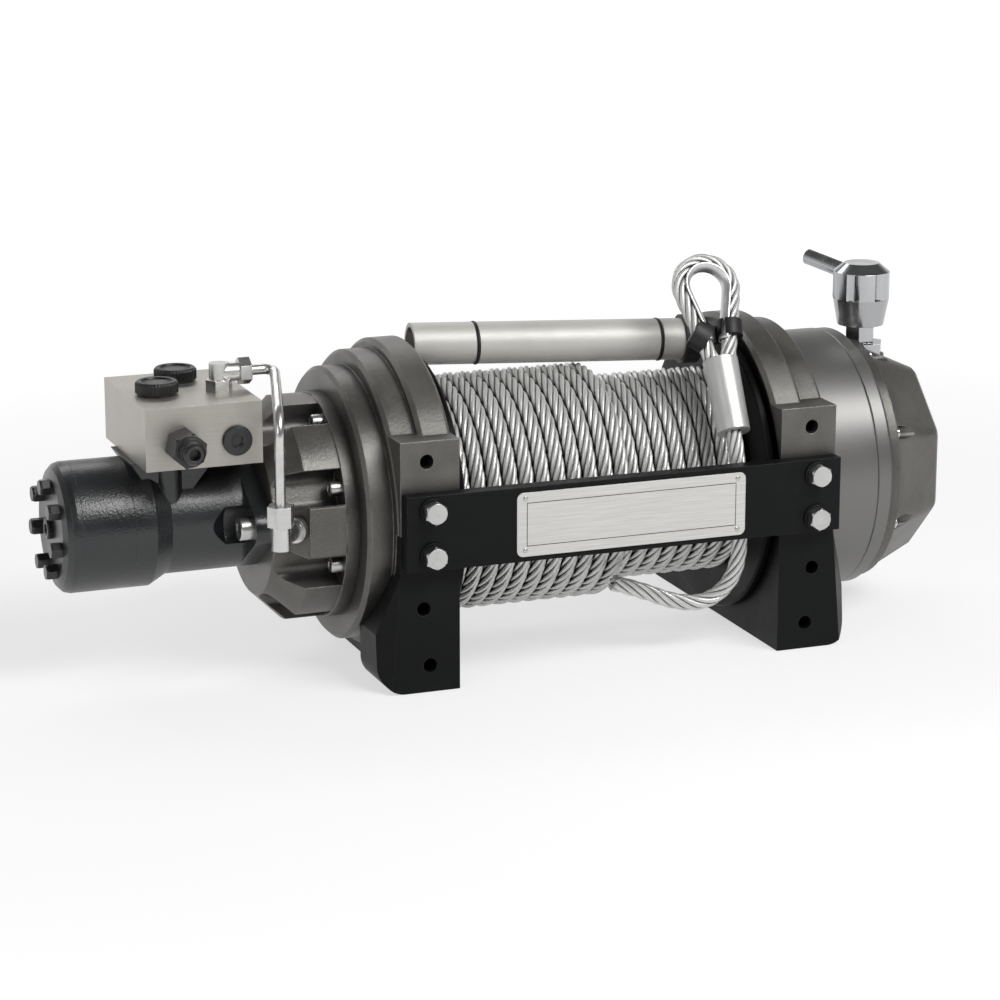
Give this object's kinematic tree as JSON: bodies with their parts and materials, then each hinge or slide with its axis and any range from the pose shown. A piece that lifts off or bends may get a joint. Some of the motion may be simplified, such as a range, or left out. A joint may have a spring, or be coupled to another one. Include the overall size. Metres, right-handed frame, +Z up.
{
  "type": "hydraulic winch",
  "caption": "Hydraulic drum winch with wire rope, motor and valve block at one end, planetary gearbox with clutch handle at the other, and a tie plate between two footed supports.",
  "frame": {"origin": "centre of the four holes under the feet, on the ground plane below the drum's axis", "axes": "+X along the drum, away from the motor; -Y to the front, where the tie plate is; +Z up"},
  "size_m": [0.7265, 0.268, 0.3052],
  "materials": {
    "grey_casting": "satin metallic grey paint on castings",
    "machined_grey": "satin metallic grey paint on turned housing",
    "black_paint": "satin black paint",
    "black_gloss": "gloss black paint",
    "wire_rope": "bright galvanised wire rope",
    "zinc": "bright zinc plate",
    "stainless": "brushed stainless",
    "motor_black": "satin blue-black paint",
    "dark_bolts": "black oxide",
    "block_steel": "milled and plated",
    "black_plastic": "black moulded plastic",
    "bright_pipe": "bright zinc plate",
    "brushed_alloy": "brushed anodised",
    "alloy_ferrule": "bright swaged",
    "strap_rubber": "black rubber",
    "chrome": "polished chrome"
  },
  "bodies": {
    "frame": {"bell_screws": "zinc", "block_plug": "dark_bolts", "brake_banjo": "bright_pipe", "brake_bell": "grey_casting", "brake_elbow": "bright_pipe", "brake_pipe": "bright_pipe", "clutch_stem": "chrome", "cover_screws": "zinc", "drum_tube": "brushed_alloy", "eye_strap": "strap_rubber", "eye_thimble": "zinc", "front_cap": "black_plastic", "gear_end_cover": "grey_casting", "gear_housing": "machined_grey", "left_foot": "black_paint", "left_support": "grey_casting", "motor_end_bolts": "dark_bolts", "motor_end_cover": "motor_black", "motor_flange_screws": "zinc", "motor_gear_set": "motor_black", "motor_housing": "motor_black", "nameplate": "stainless", "plate_bolts": "zinc", "rear_cap": "black_plastic", "right_foot": "black_paint", "right_support": "grey_casting", "ring_gear": "machined_grey", "rope_eye": "wire_rope", "rope_ferrule": "alloy_ferrule", "rope_tail": "wire_rope", "supply_fitting": "dark_bolts", "tie_plate": "black_paint", "valve_block": "block_steel"},
    "drum": {"drum_barrel": "black_gloss", "left_drum_flange": "black_gloss", "right_drum_flange": "black_gloss", "rope_winding": "wire_rope"},
    "clutch": {"clutch_knob": "chrome", "clutch_lever": "chrome"}
  },
  "joints": [
    {"name": "drum_spin", "type": "hinge", "parent": "frame", "child": "drum", "pos_m": [0, 0, 0.124], "axis": [1, 0, 0], "continuous": true},
    {"name": "clutch_turn", "type": "hinge", "parent": "frame", "child": "clutch", "pos_m": [0.262, 0, 0.25], "axis": [0, 0, 1], "range_deg": [0, 90]}
  ]
}
